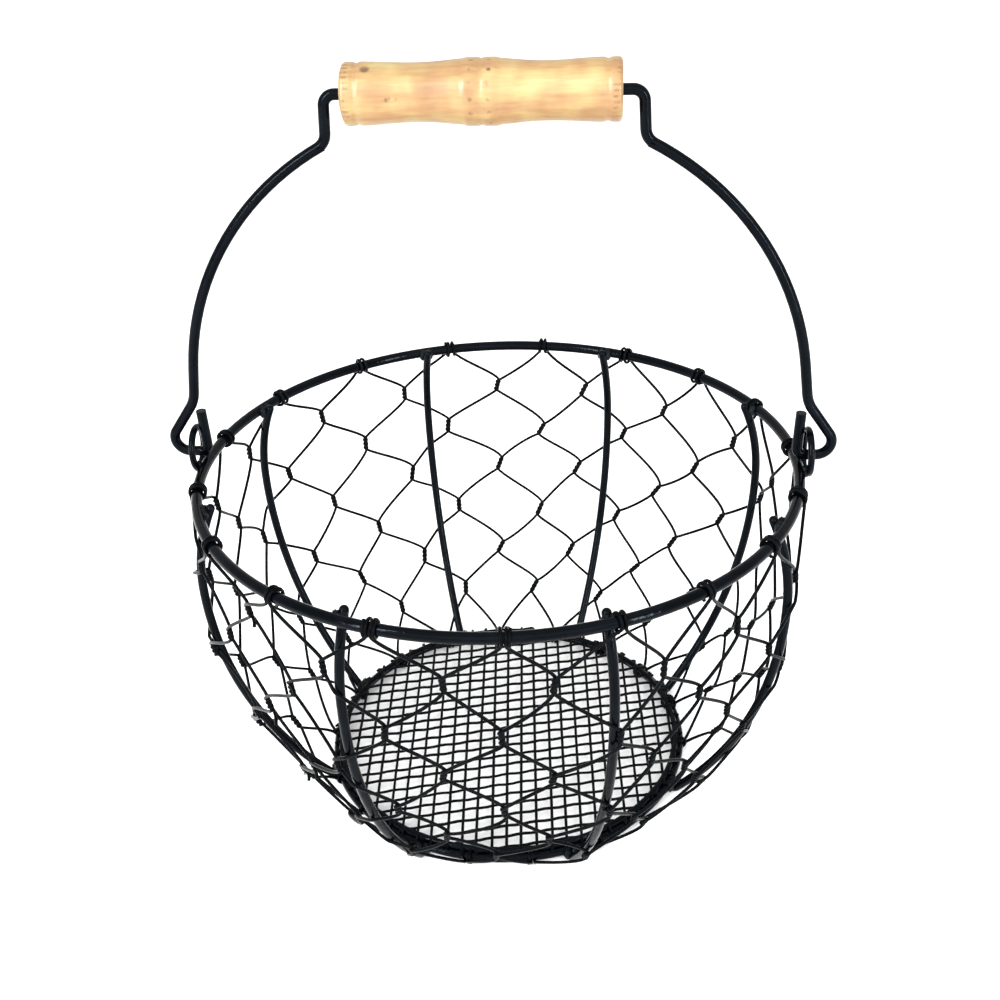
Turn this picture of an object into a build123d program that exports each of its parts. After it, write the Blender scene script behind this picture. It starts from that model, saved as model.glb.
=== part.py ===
from build123d import *
import math
import os

os.makedirs("parts", exist_ok=True)

# Egg collection basket: an open bowl of black-coated steel wire under a swinging bail handle.
# Eight ribs stand between a rim hoop and a small base hoop. Thirty-six netting wires are
# twisted in pairs round the outside of the ribs, a square wire screen lies on the base hoop,
# and the bail hooks through an ear at each end and carries a turned wooden grip.
# Millimetres, +Z up. The origin is on the ground under the middle of the bowl, X runs through
# the two ears and +Y points to the back.

# Hoops: radius to the middle of the wire, height above the ground, wire thickness.
rim_radius = 98.2
rim_height = 118.2
rim_wire = 3.6
base_radius = 63.8
base_height = 2.65
base_wire = 3.0

# Ribs, welded by eye at these azimuths, inside the rim and outside the base hoop, and the
# widest part of the bowl.
rib_azimuths = [26.0, 69.0, 111.5, 156.0, 200.5, 248.0, 293.0, 337.0]
rib_wire = 3.0
rib_tip = 3.5
wall_radius = 100.6
wall_height = 90.5

# Netting: columns round the bowl, rows of twists, and how evenly the strip is stretched.
netting_wire = 1.1
netting_columns = 18
netting_rows = 6
netting_stand_off = 2.6
netting_strain = 0.85
strain_from_rim = 18.0
strain_from_base = 30.0
first_row = 17.3
row_pitch = 17.25
twist_length = 5.0
last_row_lift = 4.5
rim_hook = 1.2
rim_tuck = 0.9
base_hook = 1.4
strip_turn = 9.6
strip_draw = 4.3
strip_slack_side = 120.0
ear_room = 6.4
rib_room = 3.4

# Base screen.
screen_wire = 0.9
screen_pitch = 5.05
screen_radius = 64.8
screen_turn = 3.7
screen_rack = 10.2

# Ears and the hook of the bail that turns in them.
ear_wire = 2.3
ear_radius = 7.1
ear_lift = 5.0
pivot_height = rim_height + 3.9

# Bail: half of its bends, as distance from the middle and height above the pivot.
bail_wire = 3.4
bail_rise = 116.5
bail_bends = [(46.2, bail_rise), (46.9, 102.4), (91.4, 79.3), (99.6, 18.6), (112.7, 0.0), (97.4, 0.0)]
bail_bend_radii = [3.4, 5.0, 94.0, 12.0, 4.8, 2.6]
hook_tip = (97.9, 15.0)

# Grip: half length, and the radii of its turned outline.
grip_half = 40.1
grip_end_radius = 8.9
grip_waist_radius = 8.4
grip_ring_radius = 9.5
grip_ring_at = 2.2
grip_ring_edge = 5.0
grip_waist_at = 19.3
grip_groove_at = 35.9
grip_groove_depth = 0.45
grip_chamfer = 0.9
grip_bore_clearance = 0.05

# Round wires that lie against each other are drawn this far apart.
seat = 0.02


def export(shape, name):
    export_step(shape, f"parts/{name}.step")


def turned(shape, azimuth):
    return Rot(0, 0, azimuth) * shape


# The wall follows two arcs that share their upright tangent at the widest height.
# The upper arc passes inside the rim and the lower arc outside the base hoop, one wire away.
rim_lap = (rim_wire + rib_wire) / 2 + seat
rim_drop = rim_height - wall_height
rim_inset = wall_radius - rim_radius
upper_radius = (rim_drop**2 + rim_inset**2 - rim_lap**2) / (2 * (rim_inset + rim_lap))
upper_angle = math.atan2(rim_drop, upper_radius - rim_inset)

base_lap = (base_wire + rib_wire) / 2 + seat
base_drop = wall_height - base_height
base_inset = wall_radius - base_radius
lower_radius = (base_drop**2 + base_inset**2 - base_lap**2) / (2 * (base_inset - base_lap))
lower_angle = math.atan2(base_drop, lower_radius - base_inset)
wall_length = upper_radius * upper_angle + lower_radius * lower_angle


def wall_at_angle(angle, outward=0.0):
    """Radius and height on the wall, at an angle above (+) or below (-) the widest height."""
    radius = upper_radius if angle > 0 else lower_radius
    return (
        wall_radius - radius + (radius + outward) * math.cos(angle),
        wall_height + (radius + outward) * math.sin(angle),
    )


def wall_at(distance, outward=0.0):
    """Radius and height on the wall, at a distance down it from the rim weld."""
    rest = upper_radius * upper_angle - distance
    angle = rest / upper_radius if rest > 0 else rest / lower_radius
    return wall_at_angle(angle, outward)


def wire_along(path, section):
    """Sweep a section along a path, square to its start."""
    return sweep(Plane(origin=path @ 0, z_dir=path % 0) * section, path=path)


# Hoops.
def hoop(radius, height, wire):
    return Pos(0, 0, height) * Torus(radius, wire / 2)


# Ribs: the foot is cut level where it stands on the ground and the tip rises past the rim.
def rib():
    foot_angle = -math.asin((wall_height + rib_wire) / lower_radius)
    tip_angle = upper_angle + rib_tip / upper_radius
    ends = [foot_angle, 0.0, tip_angle]
    arcs = []
    for start, end in zip(ends, ends[1:]):
        middle = (start + end) / 2
        on_arc = upper_radius if middle > 0 else lower_radius
        points = []
        for angle in (start, middle, end):
            points.append(
                (
                    wall_radius - on_arc + on_arc * math.cos(angle),
                    0,
                    wall_height + on_arc * math.sin(angle),
                )
            )
        arcs.append(ThreePointArc(*points))
    whole = wire_along(Wire(arcs), RegularPolygon(rib_wire / 2, 6))
    return split(whole, bisect_by=Plane.XY, keep=Keep.TOP)


# Netting: neighbouring wires meet in a twist on every row, alternately left and right, so
# each wire zigzags down its own lane between two half-columns.
def half_column(index):
    """Azimuth of a half-column; the strip is drawn tighter on one side of the bowl."""
    even = 180.0 * index / netting_columns
    return even + strip_turn + strip_draw * math.cos(math.radians(even + strip_slack_side))


def turn_between(start, end):
    """Signed turn from one azimuth to another, the short way round."""
    return (end - start + 180.0) % 360.0 - 180.0


def pushed_from(azimuth, pieces, room):
    """Azimuth, moved just clear of the nearest of some pieces round the bowl."""
    gap = min((turn_between(piece, azimuth) for piece in pieces), key=abs)
    return azimuth if abs(gap) >= room else azimuth - gap + math.copysign(room, gap)


def knot(row, column):
    """Azimuth where two neighbouring wires meet; the ends pass beside the ears and the ribs."""
    azimuth = half_column(column)
    if row == 0:
        return pushed_from(azimuth, [0.0, 180.0], ear_room)
    if row > netting_rows:
        return pushed_from(azimuth, rib_azimuths, rib_room)
    return azimuth


def pulled_in(azimuth, distance, radius):
    """How far the stretched netting lies inside the full round, between two ribs."""
    before = min((azimuth - rib) % 360.0 for rib in rib_azimuths)
    after = min((rib - azimuth) % 360.0 for rib in rib_azimuths)
    half_span = math.radians(before + after) / 2
    off_middle = math.radians(before - after) / 2
    ease = min(1.0, distance / strain_from_rim, (wall_length - distance) / strain_from_base)
    return netting_strain * ease * radius * (1 - math.cos(half_span) / math.cos(off_middle))


def around(azimuth, radius, height):
    turn = math.radians(azimuth)
    return Vector(radius * math.cos(turn), radius * math.sin(turn), height)


def over_ribs(start, end):
    """Points where a run from one (azimuth, distance, radius, height) to another bends over a rib."""
    turn = turn_between(start[0], end[0])
    bends = []
    for rib_azimuth in rib_azimuths:
        part = turn_between(start[0], rib_azimuth) / turn
        if 0 < part < 1:
            distance, radius, height = (a + (b - a) * part for a, b in zip(start[1:], end[1:]))
            outside = max(radius, wall_at(distance, netting_stand_off)[0])
            bends.append((part, (rib_azimuth, distance, outside, height)))
    return [bend for part, bend in sorted(bends)]


def netting_lane(lane):
    over = (rim_wire + netting_wire) / 2 + seat
    under = (base_wire + netting_wire) / 2 + seat
    foot = wall_length - last_row_lift
    marks = [
        (0, 0.0, rim_radius - rim_hook, rim_height + over),
        (0, 0.0, rim_radius + over, rim_height + over),
        (0, 0.0, rim_radius + over, rim_height - rim_tuck),
    ]
    for row in range(1, netting_rows + 1):
        middle = first_row + (row - 1) * row_pitch
        for distance in (middle - twist_length / 2, middle + twist_length / 2):
            marks.append((row, distance, *wall_at(distance, netting_stand_off)))
    last = netting_rows + 1
    marks.append((last, foot, *wall_at(foot, netting_stand_off)))
    marks.append((last, wall_length, base_radius + base_hook, base_height - under))
    marks.append((last, wall_length, base_radius - base_hook, base_height - under))
    stations = []
    for row, distance, radius, height in marks:
        on_left = (lane + row) % 2 == 0
        azimuth = knot(row, lane if on_left else lane + 1)
        sideways = (netting_wire / 2 + seat) * (1 if on_left else -1)
        azimuth += math.degrees(sideways / radius)
        inside = pulled_in(azimuth, distance, radius) if 0 < distance < foot else 0.0
        station = (azimuth, distance, radius - inside, height)
        if stations and abs(turn_between(stations[-1][0], azimuth)) > 1.0:
            stations += over_ribs(stations[-1], station)
        stations.append(station)
    return Polyline(*[around(azimuth, radius, height) for azimuth, _, radius, height in stations])


def netting(lane):
    path = netting_lane(lane)
    section = Plane(origin=path @ 0, z_dir=path % 0) * RegularPolygon(netting_wire / 2, 4)
    return sweep(section, path=path, transition=Transition.RIGHT)


# Base screen: two layers of straight wires, cut round, racked a little out of square.
def screen_layer(height, azimuth):
    bars = []
    reach = int(screen_radius // screen_pitch)
    for step in range(-reach, reach + 1):
        across = step * screen_pitch
        half = math.sqrt(screen_radius**2 - across**2)
        thick = screen_wire / math.sqrt(2)
        bars.append(turned(Pos(0, across, height) * Box(2 * half, thick, thick), azimuth))
    return Compound(children=bars)


# Ears: closed wire rings that stand outside the rim, square to X.
def ear(side):
    crossing = math.sqrt(ear_radius**2 - ear_lift**2)
    reach = rim_radius + (rim_wire + ear_wire) / 2 + seat
    out = math.sqrt(reach**2 - crossing**2)
    centre = Vector(side * out, 0, rim_height + ear_lift)
    ring = Plane(origin=centre, z_dir=(1, 0, 0)) * Circle(ear_radius).edge()
    return wire_along(Wire([ring]), RegularPolygon(ear_wire / 2, 6))


# Bail: one wire, bent the same way at both ends.
def bail():
    half = [(x, 0, pivot_height + z) for x, z in bail_bends]
    tip = (hook_tip[0], 0, pivot_height + hook_tip[1])
    right = half + [tip]
    left = [(-x, y, z) for x, y, z in right]
    corners = bail_bend_radii[::-1] + bail_bend_radii
    path = FilletPolyline(*(left[::-1] + right), radius=corners)
    return wire_along(path, Circle(bail_wire / 2))


# Grip: a turned handle with a bead at each end, two long waists and a double ring between.
def grip():
    bore = bail_wire / 2 + grip_bore_clearance
    middle = (0, grip_ring_radius - 0.35)
    ring_edge = (grip_ring_edge, grip_ring_radius - 0.4)
    groove_near = (grip_groove_at - 0.7, grip_end_radius)
    groove = (grip_groove_at, grip_end_radius - grip_groove_depth)
    groove_far = (grip_groove_at + 0.7, grip_end_radius)
    end = grip_end_radius - grip_chamfer
    outline = [
        Line((0, bore), middle),
        ThreePointArc(middle, (grip_ring_at, grip_ring_radius), ring_edge),
        ThreePointArc(ring_edge, (grip_waist_at, grip_waist_radius), groove_near),
        Line(groove_near, groove),
        Line(groove, groove_far),
        Line(groove_far, (grip_half - grip_chamfer, grip_end_radius)),
        Line((grip_half - grip_chamfer, grip_end_radius), (grip_half, end)),
        Line((grip_half, end), (grip_half, bore)),
        Line((grip_half, bore), (0, bore)),
    ]
    half = revolve(make_face(Curve() + outline), axis=Axis.X)
    whole = half + mirror(half, about=Plane.YZ)
    return Pos(0, 0, pivot_height + bail_rise) * whole


export(hoop(rim_radius, rim_height, rim_wire), "rim_hoop")
export(hoop(base_radius, base_height, base_wire), "base_hoop")
for number, azimuth in enumerate(rib_azimuths):
    export(turned(rib(), azimuth), f"rib_{number + 1}")
for lane in range(2 * netting_columns):
    export(netting(lane), f"netting_wire_{lane + 1:02d}")
weft_height = base_height + (base_wire + screen_wire) / 2 + seat
export(screen_layer(weft_height, screen_turn + screen_rack), "base_screen_weft")
export(screen_layer(weft_height + screen_wire + seat, screen_turn + 90), "base_screen_warp")
export(ear(-1), "ear_left")
export(ear(1), "ear_right")
export(bail(), "bail")
export(grip(), "grip")
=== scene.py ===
import math
import random

import bmesh
import bpy
from mathutils import Matrix, Vector


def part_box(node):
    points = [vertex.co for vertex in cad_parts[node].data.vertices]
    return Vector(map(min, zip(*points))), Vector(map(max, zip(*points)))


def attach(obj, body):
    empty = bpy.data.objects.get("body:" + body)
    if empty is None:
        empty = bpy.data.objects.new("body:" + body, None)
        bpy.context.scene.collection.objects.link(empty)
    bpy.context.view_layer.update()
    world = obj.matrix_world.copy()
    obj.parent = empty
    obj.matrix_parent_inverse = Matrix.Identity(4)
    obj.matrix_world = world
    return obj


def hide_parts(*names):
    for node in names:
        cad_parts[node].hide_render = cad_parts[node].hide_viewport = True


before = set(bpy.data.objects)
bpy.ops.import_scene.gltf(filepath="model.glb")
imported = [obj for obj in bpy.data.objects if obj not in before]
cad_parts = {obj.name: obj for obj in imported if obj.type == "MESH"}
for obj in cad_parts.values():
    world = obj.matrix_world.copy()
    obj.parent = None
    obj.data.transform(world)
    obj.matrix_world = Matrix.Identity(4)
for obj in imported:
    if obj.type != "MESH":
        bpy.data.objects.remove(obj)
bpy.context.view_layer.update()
mm = 0.001
chance = random.Random(7)  # every small irregularity comes from here


def hoopOf(node):
    low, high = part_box(node)
    wire = high.z - low.z
    return {"radius": (high.x - low.x - wire) / 2, "height": (high.z + low.z) / 2, "wire": wire}


rim = hoopOf("rim_hoop")
base = hoopOf("base_hoop")
print("frame loaded, rim radius", round(rim["radius"] / mm, 1), "mm")


# node helpers

def newFinish(name):
    finish = bpy.data.materials.new(name)
    finish.use_nodes = True
    return finish, finish.node_tree, finish.node_tree.nodes["Principled BSDF"]


def noiseOf(tree, place, scale, detail=3.0, roughness=0.55):
    noise = tree.nodes.new("ShaderNodeTexNoise")
    noise.inputs["Scale"].default_value = scale
    noise.inputs["Detail"].default_value = detail
    noise.inputs["Roughness"].default_value = roughness
    tree.links.new(place, noise.inputs["Vector"])
    return noise.outputs["Fac"]


def rampOf(tree, amount, stops):
    ramp = tree.nodes.new("ShaderNodeValToRGB")
    while len(ramp.color_ramp.elements) < len(stops):
        ramp.color_ramp.elements.new(0.5)
    for element, (position, colour) in zip(ramp.color_ramp.elements, stops):
        element.position = position
        element.color = (*colour, 1.0)
    tree.links.new(amount, ramp.inputs["Fac"])
    return ramp.outputs["Color"]


def spreadOf(tree, amount, low, high, start=0.0, end=1.0):
    spread = tree.nodes.new("ShaderNodeMapRange")
    spread.inputs["From Min"].default_value = start
    spread.inputs["From Max"].default_value = end
    spread.inputs["To Min"].default_value = low
    spread.inputs["To Max"].default_value = high
    tree.links.new(amount, spread.inputs["Value"])
    return spread.outputs["Result"]


def mathOf(tree, kind, *values):
    node = tree.nodes.new("ShaderNodeMath")
    node.operation = kind
    for socket, value in zip(node.inputs, values):
        if isinstance(value, (int, float)):
            socket.default_value = value
        else:
            tree.links.new(value, socket)
    return node.outputs["Value"]


def bumpOf(tree, height, strength, distance, normal=None):
    bump = tree.nodes.new("ShaderNodeBump")
    bump.inputs["Strength"].default_value = strength
    bump.inputs["Distance"].default_value = distance
    tree.links.new(height, bump.inputs["Height"])
    if normal:
        tree.links.new(normal, bump.inputs["Normal"])
    return bump.outputs["Normal"]


# black dip coating over steel: glossy, a little lumpy, thinner and greyer in patches

coatings = {
    "coatedFrameWire": {
        "dark": (0.0004, 0.0006, 0.001), "pale": (0.0012, 0.0018, 0.003), "shine": 0.06,
        "gloss": 0.07, "dull": 0.18, "lumps": 420.0, "patches": 95.0},
    "coatedNettingWire": {
        "dark": (0.001, 0.0011, 0.0014), "pale": (0.003, 0.0032, 0.0036), "shine": 0.028,
        "gloss": 0.16, "dull": 0.32, "lumps": 900.0, "patches": 160.0},
    "coatedScreenWire": {
        "dark": (0.001, 0.0011, 0.0013), "pale": (0.003, 0.0031, 0.0032), "shine": 0.03,
        "gloss": 0.3, "dull": 0.5, "lumps": 1100.0, "patches": 200.0},
    "coatedWeld": {
        "dark": (0.0012, 0.0016, 0.002), "pale": (0.006, 0.0075, 0.0075), "shine": 0.09,
        "gloss": 0.2, "dull": 0.45, "lumps": 800.0, "patches": 260.0},
}
coat = {
    "grain": 2600.0,
    "grainStrength": 0.25,
    "grainDepth": 0.00004,
    "lumpStrength": 0.5,
    "lumpDepth": 0.0002,
    "patchFrom": 0.4,  # where in the noise a pale patch starts, is palest and ends
    "patchMiddle": 0.64,
    "patchTo": 0.8,
    "dullFrom": 0.35,
    "dullTo": 0.7,
    "tint": (0.72, 0.86, 1.0, 1.0),
}


def coatingFinish(name):
    look = coatings[name]
    finish, tree, shader = newFinish(name)
    place = tree.nodes.new("ShaderNodeTexCoord").outputs["Object"]
    patches = noiseOf(tree, place, look["patches"], 4.0, 0.6)
    grain = noiseOf(tree, place, coat["grain"], 2.0)
    lumps = noiseOf(tree, place, look["lumps"], 3.0)
    colour = rampOf(tree, patches, [
        (coat["patchFrom"], look["dark"]), (coat["patchMiddle"], look["pale"]),
        (coat["patchTo"], look["dark"])])
    tree.links.new(colour, shader.inputs["Base Color"])
    dullness = spreadOf(tree, patches, look["gloss"], look["dull"], coat["dullFrom"], coat["dullTo"])
    tree.links.new(dullness, shader.inputs["Roughness"])
    fine = bumpOf(tree, grain, coat["grainStrength"], coat["grainDepth"])
    surface = bumpOf(tree, lumps, coat["lumpStrength"], coat["lumpDepth"], fine)
    tree.links.new(surface, shader.inputs["Normal"])
    shader.inputs["Specular IOR Level"].default_value = look["shine"]
    shader.inputs["Specular Tint"].default_value = coat["tint"]
    return finish


frameWire = coatingFinish("coatedFrameWire")
nettingWire = coatingFinish("coatedNettingWire")
screenWire = coatingFinish("coatedScreenWire")
weldSteel = coatingFinish("coatedWeld")
print("coatings mixed")


# the wall that the ribs and the netting follow: two arcs that meet at the widest height

bowl = {
    "widest": 100.6 * mm,  # to the middle of a rib
    "widestHeight": 90.5 * mm,
    "ribs": 8,
    "ribWire": 3.0 * mm,
    "ribTip": 2.4 * mm,  # how far a rib rises past the rim weld
    "ribFoot": 0.42,  # height of the middle of a rib's foot, in wires
    "ribSteps": 56,
    "seat": 0.02 * mm,  # between wires that rest on each other
}


def arcRadius(drop, inset, lap, above):  # lap is from the hoop's middle to the rib's
    if above:
        return (drop**2 + inset**2 - lap**2) / (2 * (inset + lap))
    return (drop**2 + inset**2 - lap**2) / (2 * (inset - lap))


rimLap = (rim["wire"] + bowl["ribWire"]) / 2 + bowl["seat"]
rimDrop = rim["height"] - bowl["widestHeight"]
rimInset = bowl["widest"] - rim["radius"]
upperRadius = arcRadius(rimDrop, rimInset, rimLap, True)
upperAngle = math.atan2(rimDrop, upperRadius - rimInset)

baseLap = (base["wire"] + bowl["ribWire"]) / 2 + bowl["seat"]
baseDrop = bowl["widestHeight"] - base["height"]
baseInset = bowl["widest"] - base["radius"]
lowerRadius = arcRadius(baseDrop, baseInset, baseLap, False)
lowerAngle = math.atan2(baseDrop, lowerRadius - baseInset)
wallLength = upperRadius * upperAngle + lowerRadius * lowerAngle


def wallAtAngle(angle, outward=0.0):
    arc = upperRadius if angle > 0 else lowerRadius
    radius = bowl["widest"] - arc + (arc + outward) * math.cos(angle)
    return radius, bowl["widestHeight"] + (arc + outward) * math.sin(angle)


def wallAt(distance, outward=0.0):  # distance down the wall from the rim
    rest = upperRadius * upperAngle - distance
    return wallAtAngle(rest / upperRadius if rest > 0 else rest / lowerRadius, outward)


def around(azimuth, radius, height):
    turn = math.radians(azimuth)
    return Vector((radius * math.cos(turn), radius * math.sin(turn), height))


def azimuthOf(node):
    low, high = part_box(node)
    return math.degrees(math.atan2(low.y + high.y, low.x + high.x)) % 360


def turnBetween(start, end):  # the short way round
    return (end - start + 180) % 360 - 180


def onHoop(hoop, azimuth, turn, reach):  # turn is 0 outside, 90 on top, 180 inside
    wound = math.radians(turn)
    return around(azimuth, hoop["radius"] + reach * math.cos(wound), hoop["height"] + reach * math.sin(wound))


ribAzimuths = [azimuthOf(f"rib_{number + 1}") for number in range(bowl["ribs"])]


# how a piece is made from wire or from a mesh

def wirePiece(name, runs, wire, finish, roundness=3, closed=False):
    curve = bpy.data.curves.new(name, "CURVE")
    curve.dimensions = "3D"
    curve.bevel_depth = wire / 2
    curve.bevel_resolution = roundness
    curve.use_fill_caps = True
    for run in runs:
        spline = curve.splines.new("POLY")
        spline.points.add(len(run) - 1)
        spline.use_cyclic_u = closed
        spline.use_smooth = True
        for point, (place, girth) in zip(spline.points, run):
            point.co = (*place, 1.0)
            point.radius = girth
    curve.materials.append(finish)
    piece = bpy.data.objects.new(name, curve)
    bpy.context.collection.objects.link(piece)
    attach(piece, "basket")
    return piece


def meshPiece(name, mesh, finish, smooth=True):
    for face in mesh.faces:
        face.smooth = smooth
    data = bpy.data.meshes.new(name)
    mesh.to_mesh(data)
    mesh.free()
    data.materials.append(finish)
    piece = bpy.data.objects.new(name, data)
    bpy.context.collection.objects.link(piece)
    return piece


wireEnd = {
    "roundAt": (25, 50, 70, 86),  # degrees round a drawn-out round end
    "snip": ((0.12, 0.93), (0.2, 0.7)),  # reach and girth of a snipped end, in wires
}


def evenGirth(places):
    return [(place, 1.0) for place in places]


def roundedEnd(place, heading, wire):
    end = []
    for angle in wireEnd["roundAt"]:
        lean = math.radians(angle)
        end.append((place + heading * (wire / 2 * math.sin(lean)), math.cos(lean)))
    return end


def cutEnd(place, heading, wire):  # its edge is taken off by the coating
    return [(place + heading * (wire * reach), girth) for reach, girth in wireEnd["snip"]]


def cutBothEnds(run, wire):  # run is a list of places with their girths
    start = (run[0][0] - run[1][0]).normalized()
    end = (run[-1][0] - run[-2][0]).normalized()
    return cutEnd(run[0][0], start, wire)[::-1] + run + cutEnd(run[-1][0], end, wire)


# hoops and bail keep the frame's shape

for node in ("rim_hoop", "base_hoop", "bail"):
    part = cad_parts[node]
    part.data.materials.clear()
    part.data.materials.append(frameWire)
print("hoops and bail coated")


# ribs

def ribRun(azimuth):
    footAngle = -math.asin(bowl["widestHeight"] / lowerRadius)
    tipAngle = upperAngle + bowl["ribTip"] / upperRadius
    places = []
    for step in range(bowl["ribSteps"] + 1):
        angle = footAngle + (tipAngle - footAngle) * step / bowl["ribSteps"]
        places.append(around(azimuth, *wallAtAngle(angle)))
    places[0].z = bowl["ribWire"] * bowl["ribFoot"]
    heading = (places[-1] - places[-2]).normalized()
    return evenGirth(places) + roundedEnd(places[-1], heading, bowl["ribWire"])


for number, azimuth in enumerate(ribAzimuths):
    rib = wirePiece(f"rib{number + 1}", [ribRun(azimuth)], bowl["ribWire"], frameWire, 5)
    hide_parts(f"rib_{number + 1}")
print("ribs made:", bowl["ribs"])


# welds

weld = {
    "height": 1.5 * mm,
    "length": 2.1 * mm,
    "ribWidth": 1.25,  # how much wider a bead on a rib is
    "rough": 0.16,
    "lumps": (9, 8, 7),  # along x, y and z
    "ribLap": 0.52,  # how deep in the lap of two wires a bead sits
    "atTip": 0.75,  # degrees to each side of a rib at the rim
    "atFoot": 1.1,  # and at the base hoop
    "atEar": 2.6,
    "earReach": 0.55,
    "tipDrop": 0.3 * mm,
    "footRise": 0.1 * mm,
    "earRise": 0.2 * mm,
}


def weldBead(mesh, place, size):
    bead = bmesh.ops.create_icosphere(mesh, subdivisions=3, radius=1.0)["verts"]
    lumpsX, lumpsY, lumpsZ = weld["lumps"]
    for vertex in bead:
        x, y, z = vertex.co
        swell = 1 + weld["rough"] * math.sin(lumpsX * x + lumpsZ * z) * math.cos(lumpsY * y)
        vertex.co = place + Vector((x * size[0] * swell, y * size[1] * swell, z * size[2] * swell))


def weldBeads():  # where ribs and ears lie against the hoops
    mesh = bmesh.new()
    ribSize = (weld["height"], weld["height"] * weld["ribWidth"], weld["length"])
    earSize = (weld["height"], weld["height"], weld["length"])
    for azimuth in ribAzimuths:
        for side in (-1, 1):
            weldBead(mesh, around(
                azimuth + side * weld["atTip"], rim["radius"] - rimLap * weld["ribLap"],
                rim["height"] - weld["tipDrop"]), ribSize)
            weldBead(mesh, around(
                azimuth + side * weld["atFoot"], base["radius"] + baseLap * weld["ribLap"],
                base["height"] + weld["footRise"]), ribSize)
    for azimuth in (0, 180):
        for side in (-1, 1):
            weldBead(mesh, around(
                azimuth + side * weld["atEar"], rim["radius"] + rim["wire"] * weld["earReach"],
                rim["height"] + weld["earRise"]), earSize)
    bmesh.ops.recalc_face_normals(mesh, faces=mesh.faces)
    return mesh


welds = meshPiece("welds", weldBeads(), weldSteel)
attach(welds, "basket")
print("welds made")


# ears

ear = {
    "wire": 2.3 * mm,
    "radius": 7.1 * mm,
    "lift": 5.0 * mm,
    "lap": 26,  # degrees that the two ends pass each other
    "endLean": 0.5,  # how far apart the two ends lie on the rim, in wires
    "steps": 60,
}


def earRun(side):
    crossing = math.sqrt(ear["radius"] ** 2 - ear["lift"] ** 2)
    reach = rim["radius"] + (rim["wire"] + ear["wire"]) / 2
    out = math.sqrt(reach**2 - crossing**2)
    places = []
    for step in range(ear["steps"] + 1):
        part = step / ear["steps"]
        turn = math.radians(-90 - ear["lap"] / 2 + part * (360 + ear["lap"]))
        lean = (part - 0.5) * ear["wire"] * ear["endLean"]
        places.append(Vector((
            side * out + lean,
            ear["radius"] * math.cos(turn),
            rim["height"] + ear["lift"] + ear["radius"] * math.sin(turn))))
    return cutBothEnds(evenGirth(places), ear["wire"])


for side, word in ((-1, "left"), (1, "right")):
    ring = wirePiece(f"ear{word.title()}", [earRun(side)], ear["wire"], frameWire, 4)
    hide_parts(f"ear_{word}")
print("ears made")


# hexagonal netting

netting = {
    "wire": 1.1 * mm,
    "columns": 18,
    "rows": 6,
    "standOff": 2.75 * mm,
    "strain": 0.85,  # how flat the netting is stretched from rib to rib
    "strainFromRim": 18.0 * mm,
    "strainFromBase": 20.0 * mm,
    "firstRow": 17.3 * mm,
    "rowPitch": 17.25 * mm,
    "twist": 4.7 * mm,
    "twistStray": 0.12,
    "turns": 1.5,
    "stepsPerTurn": 14,
    "coil": 0.42,  # from the middle of a twist to the middle of a wire, in wires
    "stripTurn": 9.6,
    "stripDraw": 4.3,  # the strip is drawn tighter on one side of the bowl
    "slackSide": 120.0,
    "skew": 0.6,  # degrees a row that the columns lean, most near the skew side
    "skewSide": 36.0,
    "sag": 3.6 * mm,  # how far the top of the strip hangs down on the right
    "earRoom": 6.4,  # degrees kept free beside an ear at the rim
    "ribRoom": 3.4,  # and beside a rib at the base hoop
    "sway": 1.1,  # degrees that a twist strays sideways
    "slip": 1.0 * mm,  # and up or down
    "lean": 0.5 * mm,
    "skewedLean": 1.3 * mm,
    "bow": 0.6 * mm,  # how far a run between twists is from straight
    "shoulder": 0.16,  # how softly a wire leaves its twist
    "runSteps": 10,
    "ribClear": 0.25 * mm,
    "seam": 21,  # the half column where the strip's ends meet
    "pooled": 1.24,  # the coating gathers where the wires are wound together
    "pooledEnds": 2.5,  # how abruptly the gathered coating starts and stops
}
winding = {  # the ends of the netting round the hoops
    "pitch": 0.85,  # in wires
    "stepsPerTurn": 16,
    "lift": 0.3,  # how slack its middle is, in wires
    "spread": (0.2, 0.4),  # how its tail turns away from the hoop
    "rimStart": -18,
    "rimTurns": (0.8, 0.9, 1.25),
    "rimTail": (0.2, 1.0),
    "baseStart": -30,
    "baseTurns": (0.55, 0.8, 1.1),
    "baseTail": (0.1, 0.5),
}
stray = {}


def strayOf(row, column):
    key = (row, column % (2 * netting["columns"]))
    if key not in stray:
        stray[key] = [chance.uniform(-1, 1) for _ in range(4)]
    return stray[key]


def halfColumn(index):
    even = 180.0 * index / netting["columns"]
    drawn = netting["stripDraw"] * math.cos(math.radians(even + netting["slackSide"]))
    return even + netting["stripTurn"] + drawn


def skewAt(column):
    return math.cos(math.radians(180.0 * column / netting["columns"] - netting["skewSide"]))


def pushedFrom(azimuth, others, room):
    gap = min((turnBetween(other, azimuth) for other in others), key=abs)
    return azimuth if abs(gap) >= room else azimuth - gap + math.copysign(room, gap)


def knotAzimuth(row, column):
    azimuth = halfColumn(column) + strayOf(row, column)[0] * netting["sway"]
    fromMiddle = min(max(row, 1), netting["rows"]) - (netting["rows"] + 1) / 2
    azimuth += netting["skew"] * skewAt(column) * fromMiddle
    if row == 0:
        return pushedFrom(azimuth, [0.0, 180.0], netting["earRoom"])
    if row > netting["rows"]:
        return pushedFrom(azimuth, ribAzimuths, netting["ribRoom"])
    return azimuth


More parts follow.
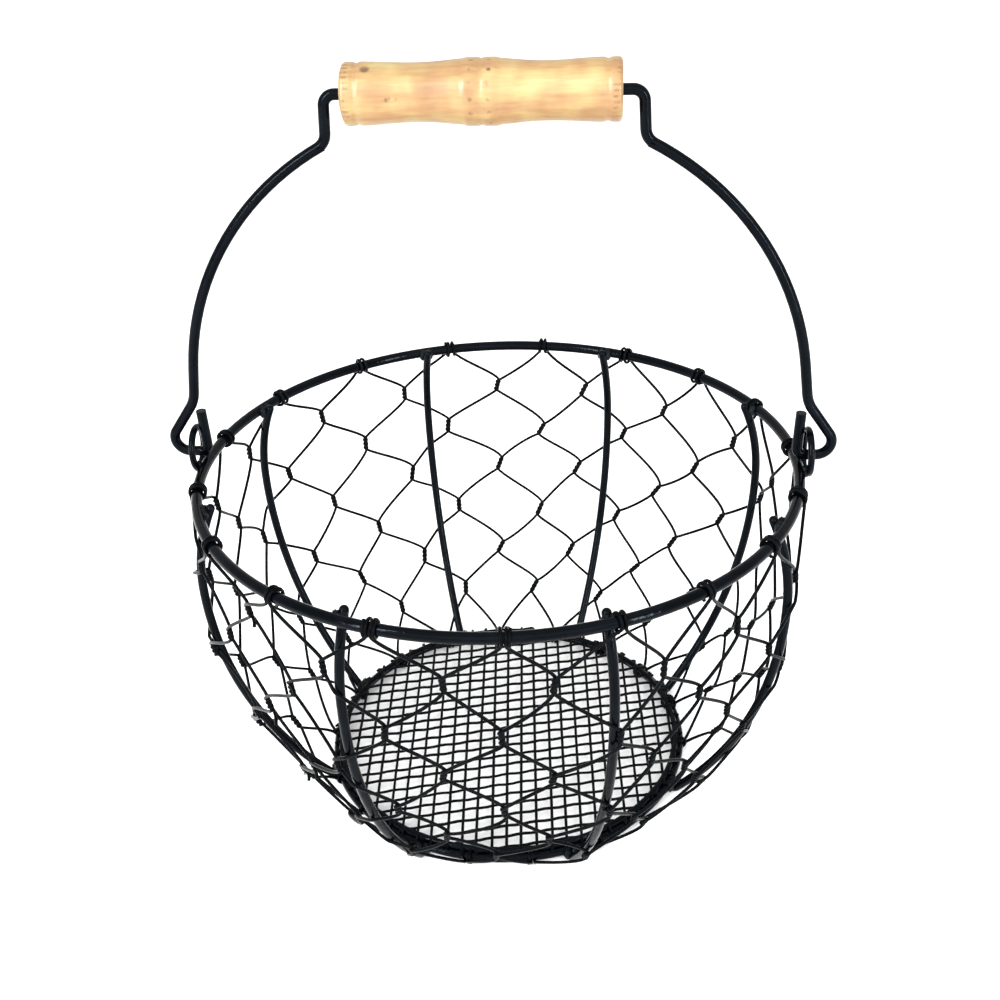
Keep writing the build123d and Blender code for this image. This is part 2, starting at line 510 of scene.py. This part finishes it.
def pulledIn(azimuth, distance, radius):  # the netting runs flat from rib to rib
    before = min((azimuth - rib) % 360 for rib in ribAzimuths)
    after = min((rib - azimuth) % 360 for rib in ribAzimuths)
    halfSpan = math.radians(before + after) / 2
    offMiddle = math.radians(before - after) / 2
    ease = min(1.0, distance / netting["strainFromRim"], (wallLength - distance) / netting["strainFromBase"])
    return netting["strain"] * max(0.0, ease) * radius * (1 - math.cos(halfSpan) / math.cos(offMiddle))


def onNetting(azimuth, distance, outward):
    radius, height = wallAt(distance, netting["standOff"] + outward)
    return around(azimuth, radius - pulledIn(azimuth, distance, radius), height)


def twistPlaces(row, column, side):  # one of the pair of wires wound round each other
    azimuth = knotAzimuth(row, column)
    _, slip, lean, stretch = strayOf(row, column)
    middle = netting["firstRow"] + (row - 1) * netting["rowPitch"] + slip * netting["slip"]
    middle += netting["sag"] * math.cos(math.radians(azimuth)) * (1 - row / (netting["rows"] + 1))
    length = netting["twist"] * (1 + netting["twistStray"] * stretch)
    tilt = lean * netting["lean"] + max(0.0, skewAt(column)) * netting["skewedLean"]
    coil = netting["wire"] * netting["coil"]
    steps = round(netting["stepsPerTurn"] * netting["turns"])
    places = []
    for step in range(steps + 1):
        part = step / steps
        turn = math.radians(90 * side + 360 * netting["turns"] * part)
        distance = middle + (part - 0.5) * length
        radius, _ = wallAt(distance)
        sideways = coil * math.cos(turn) + tilt * (part - 0.5) * 2
        places.append(onNetting(azimuth + math.degrees(sideways / radius), distance, coil * math.sin(turn)))
    return places


def windingPlaces(hoop, azimuth, side, start, turns, direction, tail):
    reach = (hoop["wire"] + netting["wire"]) / 2 + bowl["seat"]
    pitch = netting["wire"] * winding["pitch"]
    places = []
    steps = round(turns * winding["stepsPerTurn"])
    for step in range(steps + 1):
        wound = step / winding["stepsPerTurn"]
        lift = netting["wire"] * winding["lift"] * math.sin(math.pi * step / steps)
        along = side * (0.5 * netting["wire"] + pitch * wound)
        turned = start + direction * 360 * wound
        places.append(onHoop(hoop, azimuth + math.degrees(along / hoop["radius"]), turned, reach + lift))
    heading = (places[-1] - places[-2]).normalized()
    away = (places[-1] - onHoop(hoop, azimuth, 0, 0)).normalized()
    for spread in winding["spread"]:
        places.append(places[-1] + (heading + away * spread) * tail * 0.5)
    for place in places:
        place.z = max(place.z, netting["wire"] / 2)  # nothing goes below the feet
    return places


def overRibs(start, end):  # where a run between two twists rests on a rib
    first, last = (math.degrees(math.atan2(place.y, place.x)) for place in (start, end))
    turn = turnBetween(first, last)
    if abs(turn) < 1:
        return []
    rests = []
    outward = (bowl["ribWire"] + netting["wire"]) / 2 + netting["ribClear"]
    for azimuth in ribAzimuths:
        part = turnBetween(first, azimuth) / turn
        if 0.04 < part < 0.96:  # a rib right beside a twist needs no bend
            crossing = start.lerp(end, part)
            rise = crossing.z - bowl["widestHeight"]
            arc = upperRadius if rise > 0 else lowerRadius
            rest, _ = wallAtAngle(math.asin(max(-1.0, min(1.0, rise / arc))), outward)
            radius = max(rest, math.hypot(crossing.x, crossing.y))
            rests.append((part, around(azimuth, radius, crossing.z)))
    return [rest for _, rest in sorted(rests, key=lambda pair: pair[0])]


def softRun(start, leaving, end, arriving, bow):  # nearly straight, bent softly where it leaves its twists
    reach = (end - start).length * netting["shoulder"]
    nearStart = start + leaving * reach
    nearEnd = end - arriving * reach
    places = []
    for step in range(1, netting["runSteps"]):
        part = step / netting["runSteps"]
        rest = 1 - part
        place = start * rest**3 + nearStart * 3 * part * rest**2
        place += nearEnd * 3 * part**2 * rest
        place += end * part**3
        places.append(place + bow * math.sin(math.pi * part))
    return places


def netRun(before, start, end, after):
    marks = [start] + overRibs(start, end) + [end]
    places = []
    leaving = (start - before).normalized()
    loose = netting["bow"] if len(marks) == 2 else 0
    for index, (first, last) in enumerate(zip(marks, marks[1:])):
        arriving = (after - end).normalized()
        if last is not end:
            arriving = (marks[index + 2] - first).normalized()
        bow = Vector([chance.uniform(-1, 1) * loose for _ in range(3)])
        places += softRun(first, leaving, last, arriving, bow)
        if last is not end:
            places.append(last)
        leaving = arriving
    return places


def rimWinding(column, side):
    turns = chance.choice(winding["rimTurns"])
    azimuth = knotAzimuth(0, column)
    tail = chance.uniform(*winding["rimTail"]) * mm
    return windingPlaces(rim, azimuth, side, winding["rimStart"], turns, 1, tail)


def baseWinding(column, side):
    azimuth = knotAzimuth(netting["rows"] + 1, column)
    turns = chance.choice(winding["baseTurns"])
    tail = chance.uniform(*winding["baseTail"]) * mm
    return windingPlaces(base, azimuth, side, winding["baseStart"], turns, -1, tail)


def laneRun(lane):  # one wire from the rim to the base hoop
    stretches = []
    for row in range(netting["rows"] + 2):
        onLeft = (lane + row) % 2 == 0
        column = lane if onLeft else lane + 1
        side = 1 if onLeft else -1
        if row == 0:
            stretches.append(rimWinding(column, side)[::-1])
        elif row <= netting["rows"]:
            stretches.append(twistPlaces(row, column, side))
        else:
            stretches.append(baseWinding(column, side))
    places = evenGirth(stretches[0])
    for row, stretch in enumerate(stretches[1:], 1):
        places += evenGirth(netRun(places[-2][0], places[-1][0], stretch[0], stretch[1]))
        for index, place in enumerate(stretch):
            wound = math.sin(math.pi * index / (len(stretch) - 1)) if row <= netting["rows"] else 0
            places.append((place, 1 + (netting["pooled"] - 1) * min(1.0, netting["pooledEnds"] * wound)))
    return cutBothEnds(places, netting["wire"])


for lane in range(2 * netting["columns"]):
    strand = wirePiece(
        f"nettingWire{lane + 1:02d}", [laneRun(lane)], netting["wire"], nettingWire, 2)
    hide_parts(f"netting_wire_{lane + 1:02d}")
print("netting wires made:", 2 * netting["columns"])


# the snipped ends left where the two ends of the strip are wound together

seamTail = {
    "shortest": 4.5,
    "longest": 6.5,
    "overlap": 0.4,  # how far back in the twist it starts
    "outward": 0.25,
    "droop": (0.5, 1.1),
    "curlOut": 0.15,
    "curlBack": 0.4,
    "curl": 0.05,
    "steps": 8,
}


def tailRun(row):
    places = twistPlaces(row, netting["seam"] + (row + 1) % 2, 1)
    root = places[-1] if row % 2 else places[0]
    outward = Vector((root.x, root.y, 0)).normalized()
    sideways = Vector((-outward.y, outward.x, 0))
    heading = (sideways + outward * seamTail["outward"]).normalized()
    droop = Vector((0, 0, -1)) * chance.uniform(*seamTail["droop"])
    curl = droop + outward * seamTail["curlOut"] - sideways * seamTail["curlBack"]
    length = chance.uniform(seamTail["shortest"], seamTail["longest"]) * mm
    tail = [root - sideways * seamTail["overlap"] * mm]
    for step in range(seamTail["steps"]):
        heading = (heading + curl * seamTail["curl"] * step).normalized()
        tail.append(tail[-1] + heading * length / seamTail["steps"])
    return evenGirth(tail) + cutEnd(tail[-1], heading, netting["wire"])


wirePiece(
    "seamTails", [tailRun(row) for row in range(1, netting["rows"])], netting["wire"], nettingWire,
    2)
print("seam tails made")


# base screen

screen = {
    "wire": 1.05 * mm,
    "pitch": 5.05 * mm,
    "radius": 64.8 * mm,
    "warpTurn": 3.7,
    "weftTurn": 13.9,  # racked out of square
    "crimp": 0.22 * mm,
    "stray": 0.22,  # millimetres that a wire lies to one side
    "skew": 0.3,  # degrees that it is turned
    "overhang": 0.2 * mm,
    "fold": 30,  # how far an end is folded down round the base hoop
    "foldSteps": 4,
    "foldClear": 0.05 * mm,
    "foldLimit": 50,  # a wire that meets the hoop more slantwise is cut flush
}
screenRim = {  # the wire rolled into the cut edge of the screen
    "wire": 2.2 * mm,
    "inset": 1.5 * mm,
    "sink": 0.55 * mm,
    "uneven": (0.93, 1.06),
    "steps": 144,
}


def screenEnd(across, half, turn):
    azimuth = math.degrees(math.atan2(across, half))
    if min(abs(azimuth), 180 - abs(azimuth)) > screen["foldLimit"]:
        return []
    reach = (base["wire"] + screen["wire"]) / 2 + screen["foldClear"]
    places = []
    for step in range(1, screen["foldSteps"] + 1):
        wound = 90 - screen["fold"] * step / screen["foldSteps"]
        places.append(onHoop(base, azimuth + turn, wound, reach))
    return places


def screenRuns(turn, weave):
    runs = []
    reach = int(screen["radius"] // screen["pitch"])
    middle = base["height"] + base["wire"] / 2 + screen["wire"] + bowl["seat"]
    for index in range(-reach, reach + 1):
        across = index * screen["pitch"] + chance.uniform(-screen["stray"], screen["stray"]) * mm
        half = math.sqrt((base["radius"] + screen["overhang"]) ** 2 - across**2)
        skewed = turn + chance.uniform(-screen["skew"], screen["skew"])
        steps = max(2, round(2 * half / (screen["pitch"] / 2)))
        places = []
        for step in range(steps + 1):
            along = -half + 2 * half * step / steps
            crimp = math.cos(math.pi * (along / screen["pitch"] + index)) * weave
            flat = around(skewed, along, 0) + around(skewed + 90, across, 0)
            places.append(flat + Vector((0, 0, middle + crimp * screen["crimp"])))
        left = screenEnd(across, -half, turn)
        right = screenEnd(across, half, turn)
        runs.append(evenGirth(left[::-1] + places + right))
    return runs


def screenRimRun():
    middle = base["height"] + (base["wire"] + screenRim["wire"]) / 2 - screenRim["sink"]
    run = []
    for step in range(screenRim["steps"]):
        place = around(360 * step / screenRim["steps"], base["radius"] - screenRim["inset"], middle)
        run.append((place, chance.uniform(*screenRim["uneven"])))
    return run


weft = wirePiece(
    "screenWeft", screenRuns(screen["weftTurn"], 1), screen["wire"], screenWire, 1)
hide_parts("base_screen_weft")
warp = wirePiece(
    "screenWarp", screenRuns(screen["warpTurn"] + 90, -1), screen["wire"], screenWire,
    1)
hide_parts("base_screen_warp")
wirePiece("screenEdge", [screenRimRun()], screenRim["wire"], frameWire, 3, True)
print("screen woven")


# grip

gripLow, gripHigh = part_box("grip")
grip = {
    "half": (gripHigh.x - gripLow.x) / 2,
    "axisHeight": (gripHigh.z + gripLow.z) / 2,
    "bore": 1.75 * mm,
    "boreBevel": 0.5 * mm,
    "end": 8.9 * mm,
    "waist": 8.25 * mm,
    "waistAt": 19.3 * mm,
    "endRise": 1.25,  # how soon past the waist it has its full thickness again
    "ring": 9.5 * mm,
    "ringAt": 2.6 * mm,
    "ringHalf": 3.0 * mm,
    "ringFall": 1.4,  # how steeply it falls away beside the double ring
    "bead": 0.3 * mm,  # how far the node stands proud of the waists beside it
    "beadHalf": 4.0 * mm,
    "beadEase": 1.8 * mm,
    "split": 0.3 * mm,  # the line between the two rings
    "splitWidth": 0.8 * mm,
    "groove": 0.4 * mm,
    "grooveAt": 35.9 * mm,
    "grooveWidth": 0.75 * mm,
    "round": 1.3 * mm,
    "stepsAlong": 190,
    "stepsRound": 120,
    "rootDots": 14,  # root scars round each side of the middle node
    "dotDepth": 0.18 * mm,
    "dotSize": 0.5 * mm,
    "knotStretch": 1.2,  # how much longer than wide a knot is
    "wavers": ((0.05 * mm, 3, 140), (0.04 * mm, 5, -90)),  # height, turns round, and along in a metre
}
gripKnots = [  # place along the grip, angle round it from the back, size, depth
    (-32.7 * mm, 118, 1.15 * mm, 0.7 * mm),
    (-26.4 * mm, 180, 0.6 * mm, 0.15 * mm),
    (-25.6 * mm, 178, 0.5 * mm, 0.12 * mm),
    (-23.6 * mm, 179, 0.5 * mm, 0.15 * mm),
]


def softStep(value):
    value = max(0.0, min(1.0, value))
    return value * value * (3 - 2 * value)


def gripOutline(x):
    x = abs(x)
    if x < grip["waistAt"]:
        rise = grip["ring"] - grip["waist"] - grip["bead"]
        fall = softStep((x - grip["ringHalf"]) / (grip["waistAt"] - grip["ringHalf"]))
        radius = grip["waist"] + rise * (1 - fall) ** grip["ringFall"]
        radius += grip["bead"] * (1 - softStep((x - grip["beadHalf"]) / grip["beadEase"]))
    else:
        part = (x - grip["waistAt"]) / (grip["half"] - grip["waistAt"])
        radius = grip["waist"] + (grip["end"] - grip["waist"]) * softStep(part * grip["endRise"])
    radius -= grip["split"] * math.exp(-((x / grip["splitWidth"]) ** 2))
    radius -= grip["groove"] * math.exp(-(((x - grip["grooveAt"]) / grip["grooveWidth"]) ** 2))
    edge = x - (grip["half"] - grip["round"])
    if edge > 0:
        radius -= grip["round"] - math.sqrt(max(0.0, grip["round"] ** 2 - edge**2))
    return radius


def gripSolid():
    mesh = bmesh.new()
    half, bore, bevel = grip["half"], grip["bore"], grip["boreBevel"]
    spots = [(-half + bevel, bore), (-half, bore + bevel)]
    for step in range(grip["stepsAlong"] + 1):
        x = half * (2 * step / grip["stepsAlong"] - 1)
        spots.append((x, gripOutline(x)))
    spots += [(half, bore + bevel), (half - bevel, bore)]
    outline = [mesh.verts.new((x, 0, grip["axisHeight"] + radius)) for x, radius in spots]
    edges = [mesh.edges.new(pair) for pair in zip(outline, outline[1:] + outline[:1])]
    bmesh.ops.spin(
        mesh, geom=outline + edges, cent=(0, 0, grip["axisHeight"]), axis=(1, 0, 0), angle=math.tau,
        steps=grip["stepsRound"], use_merge=True)
    bmesh.ops.remove_doubles(mesh, verts=mesh.verts, dist=0.001 * mm)
    bmesh.ops.recalc_face_normals(mesh, faces=mesh.faces)
    return mesh


def gripDetail(mesh):  # hand-turned unevenness, root scars and knots
    centre = grip["axisHeight"]
    for vertex in mesh.verts:
        x, y, z = vertex.co
        radius = math.hypot(y, z - centre)
        if radius < grip["bore"] + 1 * mm:
            continue
        angle = math.atan2(z - centre, y)
        change = sum(height * math.sin(turns * angle + x * along) for height, turns, along in grip["wavers"])
        offset = (angle / math.tau * grip["rootDots"] + 0.5) % 1 - 0.5
        sideways = offset * math.tau * radius / grip["rootDots"]
        for row in (-grip["ringAt"], grip["ringAt"]):
            near = math.exp(-((x - row) ** 2 + sideways**2) / grip["dotSize"] ** 2)
            change -= grip["dotDepth"] * near
        for knotX, knotAngle, size, depth in gripKnots:
            gap = (angle - math.radians(knotAngle) + math.pi) % math.tau - math.pi
            near = math.exp(-(((x - knotX) / (size * grip["knotStretch"])) ** 2 + (gap * radius / size) ** 2))
            change -= depth * near
        scale = (radius + change) / radius
        vertex.co = Vector((x, y * scale, centre + (z - centre) * scale))


# pale varnished wood: long soft streaks, blotches, root scars at the nodes and dashes at the ends

wood = {
    "tones": [
        (0.0, (0.225, 0.11, 0.041)), (0.35, (0.265, 0.148, 0.055)),
        (0.65, (0.3, 0.202, 0.076)), (1.0, (0.325, 0.268, 0.11))],
    "stain": (0.11, 0.05, 0.018, 1.0),
    "stretch": 0.12,  # how much longer than wide a streak is
    "fibres": 900.0,
    "bands": 210.0,
    "bandShare": 0.55,
    "blotches": 95.0,
    "scarPatches": 380.0,  # some scars are darker than others
    "scarWidth": 0.62 * mm,
    "scarLength": 0.75 * mm,
    "dashes": 34,  # round each end
    "dashInset": 1.6 * mm,
    "dashWidth": 0.45 * mm,
    "dashLength": 1.3 * mm,
    "dashShare": 0.7,
    "dotEdge": (0.3, 1.3),  # how softly a scar or a dash ends
    "knotRadius": 8.75 * mm,
    "fibreShade": (0.8, 1.08, 0.3, 0.7),  # darkest and lightest, and where in the noise
    "fibreGloss": (0.32, 0.5),
    "fibreBump": 0.22,
    "fibreDepth": 0.0001,
    "markBump": -0.5,
    "markDepth": 0.0003,
    "knotEdge": (0.7, 1.5),  # where a knot starts to pale and is gone, in knots
    "varnish": 0.2,
    "varnishDull": 0.25,
}


def mappedTo(tree, place, location=(0, 0, 0), scale=(1, 1, 1)):
    mapping = tree.nodes.new("ShaderNodeMapping")
    mapping.inputs["Location"].default_value = location
    mapping.inputs["Scale"].default_value = scale
    tree.links.new(place, mapping.inputs["Vector"])
    return mapping.outputs["Vector"]


def mixOf(tree, kind, factor, first, second):
    mix = tree.nodes.new("ShaderNodeMix")
    mix.data_type = "RGBA"
    mix.blend_type = kind
    for name, value in (("Factor", factor), ("A", first), ("B", second)):
        if isinstance(value, (float, tuple)):
            mix.inputs[name].default_value = value
        else:
            tree.links.new(value, mix.inputs[name])
    return mix.outputs["Result"]


def dotsAt(tree, distance, angle, rowAt, count, width, length):  # a row of dots round the grip
    cells = mathOf(tree, "ADD", mathOf(tree, "MULTIPLY", angle, count / math.tau), 100.5)
    inCell = mathOf(tree, "SUBTRACT", mathOf(tree, "FRACT", cells), 0.5)
    across = mathOf(tree, "MULTIPLY", inCell, math.tau * grip["end"] / count / width)
    along = mathOf(tree, "MULTIPLY", mathOf(tree, "SUBTRACT", distance, rowAt), 1 / length)
    squared = mathOf(
        tree, "ADD", mathOf(tree, "MULTIPLY", across, across), mathOf(tree, "MULTIPLY", along, along))
    return spreadOf(tree, squared, 1.0, 0.0, *wood["dotEdge"])


def gripMarks(tree, centred):
    split = tree.nodes.new("ShaderNodeSeparateXYZ")
    tree.links.new(centred, split.inputs["Vector"])
    along, back, up = split.outputs
    angle = mathOf(tree, "ARCTAN2", up, back)
    distance = mathOf(tree, "ABSOLUTE", along)
    uneven = spreadOf(tree, noiseOf(tree, centred, wood["scarPatches"], 2.0), 0.0, 1.0, 0.42, 0.6)
    scars = dotsAt(
        tree, distance, angle, grip["ringAt"], grip["rootDots"], wood["scarWidth"], wood["scarLength"])
    dashes = dotsAt(
        tree, distance, angle, grip["half"] - wood["dashInset"], wood["dashes"], wood["dashWidth"],
        wood["dashLength"])
    scars = mathOf(tree, "MULTIPLY", scars, uneven)
    dashes = mathOf(tree, "MULTIPLY", mathOf(tree, "MULTIPLY", dashes, uneven), wood["dashShare"])
    marks = mathOf(tree, "MAXIMUM", scars, dashes)
    for knotX, knotAngle, size, _ in gripKnots:
        turn = math.radians(knotAngle)
        away = tree.nodes.new("ShaderNodeVectorMath")
        away.operation = "DISTANCE"
        tree.links.new(centred, away.inputs[0])
        away.inputs[1].default_value = (
            knotX, wood["knotRadius"] * math.cos(turn), wood["knotRadius"] * math.sin(turn))
        paling, gone = wood["knotEdge"]
        spot = spreadOf(tree, away.outputs["Value"], 1.0, 0.0, size * paling, size * gone)
        marks = mathOf(tree, "MAXIMUM", marks, spot)
    return marks


def gripFinish():
    finish, tree, shader = newFinish("varnishedGripWood")
    place = tree.nodes.new("ShaderNodeTexCoord").outputs["Object"]
    centred = mappedTo(tree, place, location=(0, 0, -grip["axisHeight"]))
    lengthwise = mappedTo(tree, centred, scale=(wood["stretch"], 1.0, 1.0))
    fibres = noiseOf(tree, lengthwise, wood["fibres"], 5.0, 0.6)
    bands = noiseOf(tree, lengthwise, wood["bands"], 3.0, 0.5)
    blotches = noiseOf(tree, centred, wood["blotches"], 2.0, 0.5)
    soft = mathOf(tree, "MULTIPLY_ADD", bands, wood["bandShare"], blotches)
    tone = rampOf(tree, spreadOf(tree, soft, 0.0, 1.0, 0.5, 1.05), wood["tones"])
    marks = gripMarks(tree, centred)
    stained = mixOf(tree, "MIX", marks, tone, wood["stain"])
    shade = spreadOf(tree, fibres, *wood["fibreShade"])
    tree.links.new(mixOf(tree, "MULTIPLY", 1.0, stained, shade), shader.inputs["Base Color"])
    tree.links.new(spreadOf(tree, fibres, *wood["fibreGloss"]), shader.inputs["Roughness"])
    fine = bumpOf(tree, fibres, wood["fibreBump"], wood["fibreDepth"])
    surface = bumpOf(tree, marks, wood["markBump"], wood["markDepth"], fine)
    tree.links.new(surface, shader.inputs["Normal"])
    shader.inputs["Coat Weight"].default_value = wood["varnish"]
    shader.inputs["Coat Roughness"].default_value = wood["varnishDull"]
    return finish


gripMesh = gripSolid()
gripDetail(gripMesh)
turnedGrip = meshPiece("turnedGrip", gripMesh, gripFinish())
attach(turnedGrip, "grip")
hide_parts("grip")
print("grip turned")


# floor and light

floor = {"radius": 6.0, "pale": (0.96, 0.96, 0.96, 1.0), "roughness": 0.9, "shine": 0.1}
lights = {  # place, width and height, power
    "overheadLight": ((0.1, -0.3, 1.9), (2.0, 2.0), 10),
    "frontLight": ((0.1, -1.95, 1.2), (3.2, 2.0), 44),
    "leftStrip": ((-0.8, -0.9, 0.75), (0.1, 1.1), 24),
    "rightStrip": ((0.95, -0.8, 0.35), (0.07, 0.8), 13),
}
lightsAim = Vector((0, 0, 0.12))
roomLight = 1.1


def floorPiece():
    mesh = bmesh.new()
    bmesh.ops.create_circle(mesh, cap_ends=True, radius=floor["radius"], segments=96)
    finish, _, shader = newFinish("paleFloor")
    shader.inputs["Base Color"].default_value = floor["pale"]
    shader.inputs["Roughness"].default_value = floor["roughness"]
    shader.inputs["Specular IOR Level"].default_value = floor["shine"]
    meshPiece("floor", mesh, finish, False)


def softLight(name, place, size, power):
    data = bpy.data.lights.new(name, "AREA")
    data.shape = "RECTANGLE"
    data.size, data.size_y = size
    data.energy = power
    lamp = bpy.data.objects.new(name, data)
    bpy.context.collection.objects.link(lamp)
    turn = (Vector(place) - lightsAim).to_track_quat("Z", "Y").to_matrix().to_4x4()
    lamp.matrix_world = Matrix.Translation(place) @ turn


floorPiece()
for name, (place, size, power) in lights.items():
    softLight(name, place, size, power)

room = bpy.data.worlds.new("paleRoom")
room.use_nodes = True
room.node_tree.nodes["Background"].inputs["Color"].default_value = (1.0, 1.0, 1.0, 1.0)
room.node_tree.nodes["Background"].inputs["Strength"].default_value = roomLight
bpy.context.scene.world = room
bpy.context.scene.view_settings.view_transform = "Standard"
print("floor and lights set")


# camera

camera = {
    "place": (37.7 * mm, -374.5 * mm, 321.0 * mm),
    "downward": 29.98,
    "heading": 5.62,
    "roll": -2.28,
    "sensor": 36,
    "lens": 46.32,
    "shift": (-0.0013, 0.0001),
    "nearest": 0.01,
    "farthest": 50,
}


def cameraPiece():
    data = bpy.data.cameras.new("camera")
    data.sensor_width = camera["sensor"]
    data.lens = camera["lens"]
    data.shift_x, data.shift_y = camera["shift"]
    data.clip_start = camera["nearest"]
    data.clip_end = camera["farthest"]
    eye = bpy.data.objects.new("camera", data)
    bpy.context.collection.objects.link(eye)
    turn = Matrix.Rotation(math.radians(camera["heading"]), 4, "Z")
    tilt = Matrix.Rotation(math.radians(90 - camera["downward"]), 4, "X")
    roll = Matrix.Rotation(math.radians(camera["roll"]), 4, "Z")
    eye.matrix_world = Matrix.Translation(camera["place"]) @ turn @ tilt @ roll
    bpy.context.scene.camera = eye


cameraPiece()
print("camera set")
